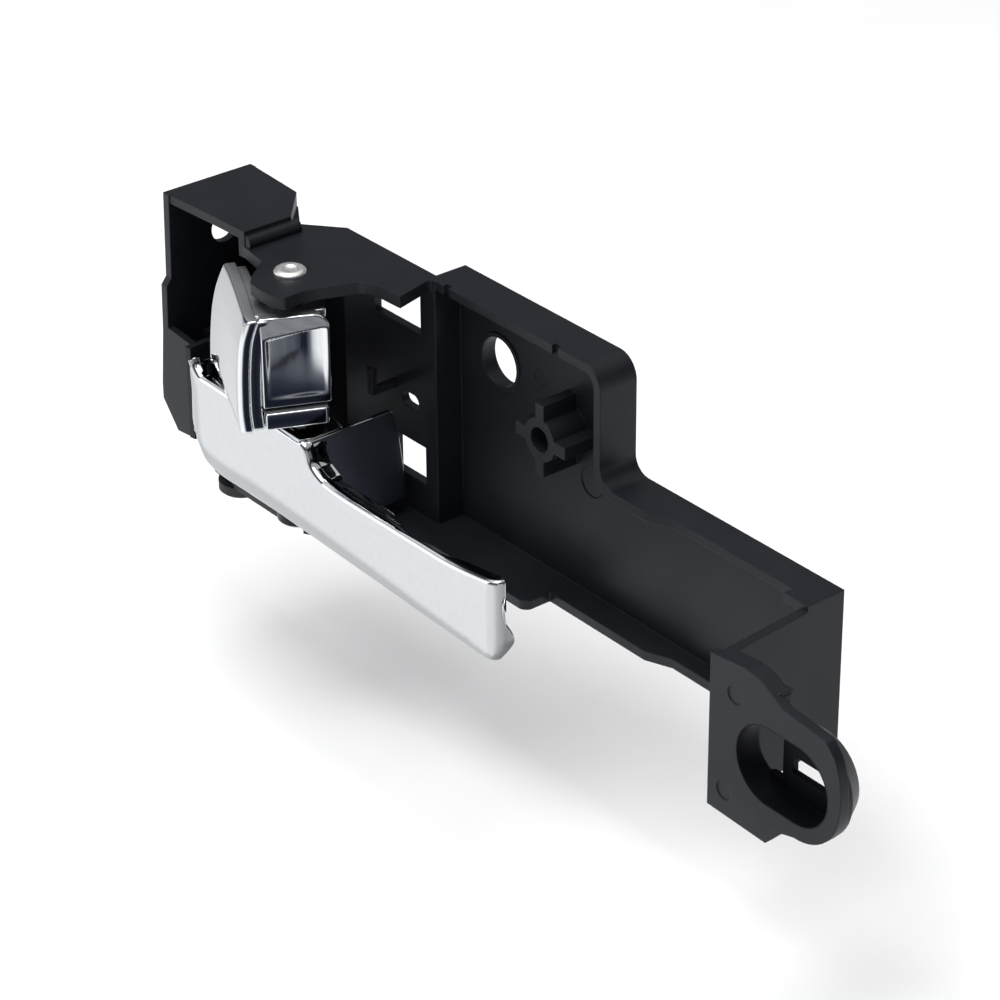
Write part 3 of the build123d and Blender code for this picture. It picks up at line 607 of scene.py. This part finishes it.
def lever_front(x, z):
    """Face of the lever: nearly flat, falling back along its lower and left borders and its right end."""
    s = z - low_edge(x)
    y = -8.7
    width = interp(x, [-28.0, 10.0, 40.0, 60.0, 76.0], [5.6, 5.0, 4.0, 2.7, 1.8])
    y += 0.24 * width * clamp01(1 - s / width) ** 1.7
    y += 1.1 * clamp01(1 - (x + 28.4) / 5.5) ** 2.2 * clamp01((-29.0 - z) / 6.0)
    y += 1.5 * clamp01(1 - (76.8 - x) / 3.2) ** 2.2
    # the face is very slightly crowned
    y += 0.12 * ((x - 30.0) / 50.0) ** 2
    return y


def lever_back(x, z):
    """Rear of the front wall, with the flared lower edge of the grip and the thicker upper end."""
    y = -6.0
    if x > 10:
        w = clamp01((x - 10) / 5.0)
        w = w * w * (3 - 2 * w)
        y += w * interp(z, [-54.9, -53.4, -52.2, -51.0, -49.8, -48.2, -46.3, -44.5, -42.5, -30.0],
                        [0.0, 0.4, 1.6, 2.75, 2.85, 2.2, 1.1, 0.35, 0.0, 0.0])
        y -= 1.0 * clamp01((x - 44) / 4.0) * clamp01((62 - x) / 5.0) * clamp01((z + 40.5) / 1.6)
        y += 0.9 * clamp01((x - 60) / 5.0) * clamp01((z + 41.0) / 2.0)
    y -= 0.6 * clamp01((x - 74.6) / 2.2)
    return y


shell = plate(face_line, lever_front, lever_back, 1.15, 0.45, on_front, step=0.7, grid=1.5, seg=6)
band_out = ([(-26.5, -29.6), (-24.9, -30.4), (-22.0, -30.75)] + [(x, z - 0.12) for x, z in curve(KNEE[:3], 8)]
            + [(14.7, -32.4), (14.7, -52.8), (-18.0, -52.6), (-23.2, -51.2), (-26.7, -47.9), (-27.8, -44.5)])
lower_rim = plate(rounded([(-27.8, -44.5), (-26.7, -47.9), (-23.2, -51.2), (-18.0, -52.6), (14.5, -52.6), (14.5, -51.0),
                           (-17.5, -51.0), (-22.0, -49.7), (-25.0, -47.0), (-26.0, -44.0)], 0.8), -7.4, -2.4, 0.3, 0.5,
                  on_front, 0.8, 2.0, 4)
left_rim = plate(rounded([(-26.75, -28.9), (-25.3, -28.6), (-24.6, -32.0), (-25.9, -46.0), (-27.8, -46.0)],
                         [0.6, 0.6, 1.0, 0.4, 0.4]), -7.4, -2.4, 0.3, 0.6, on_front, 0.8, 2.0, 4)
upper_rim = plate(rounded([(-9.0, -30.85), (11.5, -31.15), (13.6, -31.3), (14.6, -32.3), (14.6, -33.3), (-9.0, -33.1)],
                          [0.5, 1, 1, 0.5, 0.5, 0.5]), -7.4, -2.4, 0.3, 0.4, on_front, 0.6, 2.0, 4)
knee_out = [(12.9, -31.25)] + curve([(13.4, -31.3), (14.9, -32.3), (16.5, -35.4), (19.8, -37.2)], 8) + \
    [(19.8, -37.2), (20.6, -37.4), (20.6, -39.4), (16.6, -39.4), (12.9, -36.0)]
knee = plate(knee_out, -7.4, -3.3, 0.2, 0.45, on_front, 0.5, 1.2, 4)
bead = plate(rounded([(19.6, -38.05), (28.5, -38.1), (41.2, -38.05), (42.0, -38.8), (41.2, -40.0), (19.6, -40.0)],
                     [0.2, 0.2, 0.9, 0.6, 0.8, 0.2]), -7.0,
             lambda x, z: -3.9 - 1.6 * clamp01((x - 37.0) / 5.0) ** 2, 0.2, 0.6, on_front, 0.6, 1.2, 4)
hump = plate(rounded([(60.5, -38.1), (68.0, -37.5), (75.6, -36.7), (75.6, -40.4), (60.5, -40.6)], 0.5), -7.0,
             lambda x, z: -6.0 + 0.95 * math.sin(math.pi * clamp01((x - 60.0) / 16.6)) ** 0.7, 0.2, 0.5, on_front, 0.6, 1.2, 4)
upper_arm = plate(rounded([(-8.5, -7.0), (13.8, -7.0), (13.8, 2.6), (5.0, 3.6), (3.0, 4.6), (-3.0, 4.6), (-5.0, 2.0),
                           (-8.5, -2.4)], [0.3, 0.3, 1, 2, 2, 2, 2, 1.5]), 31.0, 33.2, 0.4, 0.4, on_top, 0.8, 1.6, 3)
boss_up = plate([(4.4 * math.cos(math.tau * k / 48), 4.4 * math.sin(math.tau * k / 48)) for k in range(48)],
                29.62, 33.2, 0.4, 0.2, on_top, 0.6, 1.6, 3)
lower_arm = plate(rounded([(-8.5, -7.0), (14.0, -7.0), (14.0, 14.5), (11.5, 14.5), (5.0, 4.6), (3.0, 5.2), (-3.0, 5.2),
                           (-5.0, 2.0), (-8.5, -2.4)], [0.3, 0.3, 0.5, 0.8, 3, 2, 2, 2, 1.5]), 51.2, 53.3, 0.4, 0.4,
                  on_top, 0.9, 2.0, 3)
boss_low = plate([(4.4 * math.cos(math.tau * k / 48), 4.4 * math.sin(math.tau * k / 48)) for k in range(48)],
                 51.0, 54.3, 0.2, 0.4, on_top, 0.6, 1.6, 3)
crank = plate(rounded([(-7.2, -31.15), (14.4, -31.15), (16.1, -38.0), (17.0, -45.0), (17.6, -53.3), (-7.2, -53.3)],
                      [0.3, 1.0, 6, 6, 1.0, 0.3]), -14.45, -12.95, 0.35, 0.35, on_side, 0.8, 1.8, 3)
pull = solid("pull_lever_chrome",
             [shell, lower_rim, left_rim, upper_rim, knee, bead, hump, upper_arm, boss_up, lower_arm, boss_low],
             CHROME, "pull", "pull_lever")
crank_ob = solid("pull_lever_crank", [crank], CRANK_CHROME, "pull", None)

# lock lever ---------------------------------------------------------------
CA, SA = math.cos(math.radians(25.0)), math.sin(math.radians(25.0))


def turned(p):
    u, v, z = p
    return (u * CA + v * SA, -u * SA + v * CA, z)


def left_edge(z):
    return interp(z, [-30.4, -24.0, -17.0, -11.0, -8.0, -4.7], [-19.3, -19.2, -18.8, -18.0, -17.3, -16.5])


def pad_front(u, z):
    """Front of the paddle: bowed from top to bottom, bulging towards its left edge."""
    vl = interp(z, [-31.2, -30.2, -27.3, -23.9, -20.3, -14.8, -11.8, -8.3, -4.9, -4.2],
                [-14.2, -14.3, -14.5, -14.4, -14.2, -13.68, -13.2, -12.45, -11.4, -11.1])
    vr = interp(z, [-31.2, -30.4, -25.9, -21.0, -15.8, -9.7, -4.93, -4.2],
                [-13.3, -13.4, -13.8, -13.8, -13.6, -12.95, -11.5, -11.2])
    t = clamp01((u - left_edge(z)) / (10.8 - left_edge(z)))
    curl = 1 - (1 - t / 0.3) ** 2 if t < 0.3 else 1 - smooth((t - 0.35) / 0.65)
    return vr + (vl - vr) * (1 - t) ** 2.0 + 0.28 * curl


def pad_back(u, z):
    return pad_front(u, z) + 5.2


pad_line = ([(-16.2, -4.2), (10.8, -4.9), (10.8, -30.7), (-1.0, -30.3), (-19.1, -30.2)]
            + curve([(-19.3, -28.0), (-19.2, -24.0), (-18.8, -17.0), (-18.0, -11.0), (-17.2, -8.0), (-16.4, -4.9)], 6)
            + [(-16.4, -4.9)])
pad_line = rounded(pad_line, [0.3, 0.5, 1.1, 3.0, 1.4] + [0] * (len(pad_line) - 5))
mid = 2.6


def pad_mid(u, z):
    return pad_front(u, z) + mid


pad_a = plate(pad_line, pad_front, pad_mid, lambda u, z: 0.5 + 0.85 * smooth((u - 7.0) / 3.5), 0.35,
              lambda a, b, d: turned((a, d, b)), 0.4, 1.0, 8)
pad_b_line = rounded([(-15.9, -5.1), (10.45, -5.3), (10.45, -30.4), (-18.6, -29.8), (-18.6, -22.0), (-17.8, -14.0)],
                     [0.4, 0.5, 1.1, 1.2, 3, 3])
pad_b = plate(pad_b_line, lambda u, z: pad_mid(u, z) + 0.02, pad_back, 0.35, 0.5, lambda a, b, d: turned((a, d, b)),
              0.6, 1.6, 4)
body_line = rounded([(-4.6, -9.9), (8.3, -9.9), (8.3, 5.6), (-2.0, 6.4), (-4.6, 4.0)], [0.3, 0.3, 0.6, 3, 2])
core = plate(body_line, 5.0, 24.7, 0.35, 0.3, lambda a, b, d: turned((a, b, -d)), 0.6, 1.5, 3)


def pocket(v, z):
    """Side face of the body, seen from the right: sloped top band, crease, dished panel, shelf."""
    crease = -9.0 + 0.1 * (v + 7)
    side_in = smooth((v + 7.7) / 0.45) * smooth((5.1 - v) / 0.5)
    if z > crease:
        band = 0.33 * (z - crease) * smooth((z - crease) / 0.5)
        ripple = 0.03 * math.sin(1.15 * v + 0.9 * z + 0.6) * smooth((z - crease) / 1.2)
        return max(0.0, band + ripple * side_in)
    t = smooth((crease - z) / 0.45) * smooth((z + 22.9) / 0.55)
    bowl = interp(v, [-7.7, -7.2, -4.2, -1.0, 0.8, 2.3, 4.4, 5.1], [0.1, 0.3, 0.95, 1.55, 1.75, 1.5, 0.65, 0.1])
    bowl += 0.003 * math.sin(3.1 * v + 0.1 * z) * smooth((v + 5.5) / 2.0) * smooth((3.0 - v) / 2.0)
    bowl *= 0.24 + 0.76 * smooth((z + 22.8) / 11.0)
    return bowl * t * side_in


side_line = rounded([(-8.6, -5.0), (5.7, -5.0), (5.7, -24.8), (-8.6, -24.8)], [0.4, 3.0, 0.6, 0.4])
side_face = plate(side_line, lambda v, z: -11.35 + pocket(v, z), -7.9, 0.3, 0.1,
                  lambda a, b, d: turned((-d, a, b)), 0.35, 0.40, 4)
low_line = rounded([(-4.6, -9.8), (10.0, -9.8), (10.0, 4.2), (-2.0, 5.4), (-4.6, 4.0)], [0.3, 0.3, 1.0, 2, 2])
neck = plate(low_line, 24.4, 26.0, 0.1, 0.1, lambda a, b, d: turned((a, b, -d)), 0.8, 1.6, 2)
foot_line = rounded([(-4.6, -8.4), (12.6, -8.4), (12.6, 4.9), (-2.0, 5.6), (-4.6, 4.0)], [0.3, 0.3, 1.0, 2, 2])
foot = plate(foot_line, 25.45, 29.15, 0.4, 0.4, lambda a, b, d: turned((a, b, -d)), 0.6, 1.6, 4)
hub = plate([(5.3 * math.cos(math.tau * k / 64), 5.3 * math.sin(math.tau * k / 64)) for k in range(64)],
            3.62, 6.0, 0.5, 0.1, lambda a, b, d: turned((a, b, -d)), 0.6, 1.6, 3)
tail = plate(rounded([(-3.0, -1.6), (-14.4, -1.0), (-15.4, 0.6), (-15.4, 3.4), (-14.4, 4.6), (-3.0, 4.6)],
                     [0.2, 1, 1, 1, 1, 0.2]), 27.0, 29.15, 0.35, 0.35, lambda a, b, d: turned((a, b, -d)), 0.8, 1.6, 3)
lock = solid("lock_lever_chrome", [pad_a, pad_b, core, side_face, neck, foot, hub, tail],
             LOCK_CHROME, "lock", "lock_lever")

give(frame["nodes"]["pivot_pin"], PIN)
give(frame["nodes"]["pin_retainer"], WIRE)
give(frame["nodes"]["friction_washer"], WIRE)
give(frame["nodes"]["return_spring"], WIRE)
give(frame["nodes"]["rubber_buffer"], RUBBER)

# ------------------------------------------------------------------- stage
FLOOR_Z = PV.z - 0.105
me = bpy.data.meshes.new("floor")
R = 3.0
me.from_pydata([(-R, -R, FLOOR_Z), (R, -R, FLOOR_Z), (R, R, FLOOR_Z), (-R, R, FLOOR_Z)], [], [(0, 1, 2, 3)])
floor = bpy.data.objects.new("floor", me)
bpy.context.scene.collection.objects.link(floor)
fm, nt, bs = new_mat("pale_floor")
fc = coords(nt, (1, 1, 1))
fn = noise(nt, fc, 40.0, 3.0, 0.5)
fr = ramp(nt, fn, "Fac", [(0.3, grey(0.92)), (0.7, grey(0.94))])
link(nt, fr, "Color", bs, "Base Color")
bs.inputs["Roughness"].default_value = 0.9
bs.inputs["Specular IOR Level"].default_value = 0.1
me.materials.append(fm)

# world: pale studio, lighter overhead
w = bpy.data.worlds.new("studio")
bpy.context.scene.world = w
w.use_nodes = True
wn = w.node_tree
for n in list(wn.nodes):
    wn.nodes.remove(n)
wo = wn.nodes.new("ShaderNodeOutputWorld")
bg = wn.nodes.new("ShaderNodeBackground")
tc = wn.nodes.new("ShaderNodeTexCoord")
sep = wn.nodes.new("ShaderNodeSeparateXYZ")
rp = wn.nodes.new("ShaderNodeValToRGB")
wn.links.new(tc.outputs["Generated"], sep.inputs[0])
wn.links.new(sep.outputs["Z"], rp.inputs["Fac"])
els = rp.color_ramp.elements
els.new(0.5)
els.new(0.6)
els.new(0.7)
for e, (pos, c) in zip(els, [(0.0, (0.50, 0.51, 0.53, 1)), (0.22, (0.50, 0.51, 0.53, 1)), (0.34, (0.05, 0.056, 0.085, 1)),
                             (0.54, (0.06, 0.066, 0.09, 1)), (0.70, (1.0, 1.0, 1.0, 1))]):
    e.position = pos
    e.color = c
wn.links.new(rp.outputs["Color"], bg.inputs["Color"])
bg.inputs["Strength"].default_value = 0.8
wn.links.new(bg.outputs[0], wo.inputs[0])


def area(name, loc, target, size, power, size_y=None, color=(1, 1, 1)):
    ld = bpy.data.lights.new(name, "AREA")
    ld.energy = power
    ld.color = color
    ld.shape = "RECTANGLE"
    ld.size = size
    ld.size_y = size_y or size
    ob = bpy.data.objects.new(name, ld)
    ob.location = loc
    d = Vector(target) - Vector(loc)
    ob.rotation_euler = d.to_track_quat("-Z", "Y").to_euler()
    bpy.context.scene.collection.objects.link(ob)
    return ob


area("key", (0.0, -0.35, 1.1), (0, 0, 0), 0.9, 13.2, 0.9)
area("left_box", (-0.95, -0.8, 0.34), (0, 0, 0), 0.7, 2.3, 0.8)
area("fill", (0.9, -0.9, 0.25), (0, 0, 0), 0.5, 0.35, 0.5)

# ------------------------------------------------------------------ camera
A, E, RO, F = math.radians(51.2), math.radians(29.6), math.radians(0.5), 3532.0
right = Vector((math.cos(A), math.sin(A), 0.0))
fwd = Vector((-math.sin(A) * math.cos(E), math.cos(A) * math.cos(E), -math.sin(E)))
down = fwd.cross(right)
r2 = right * math.cos(RO) + down * math.sin(RO)
d2 = -right * math.sin(RO) + down * math.cos(RO)
cam = bpy.data.cameras.new("camera")
cam.sensor_width = 36.0
cam.sensor_fit = "HORIZONTAL"
cam.lens = F / 1000.0 * 36.0
cam.clip_start = 0.01
cam.clip_end = 20.0
co = bpy.data.objects.new("camera", cam)
M = Matrix((r2, -d2, -fwd)).transposed().to_4x4()
M.translation = PV + Vector((0.53310, -0.37416, 0.31526))
co.matrix_world = M
bpy.context.scene.collection.objects.link(co)
bpy.context.scene.camera = co
bpy.context.scene.view_settings.view_transform = "Standard"
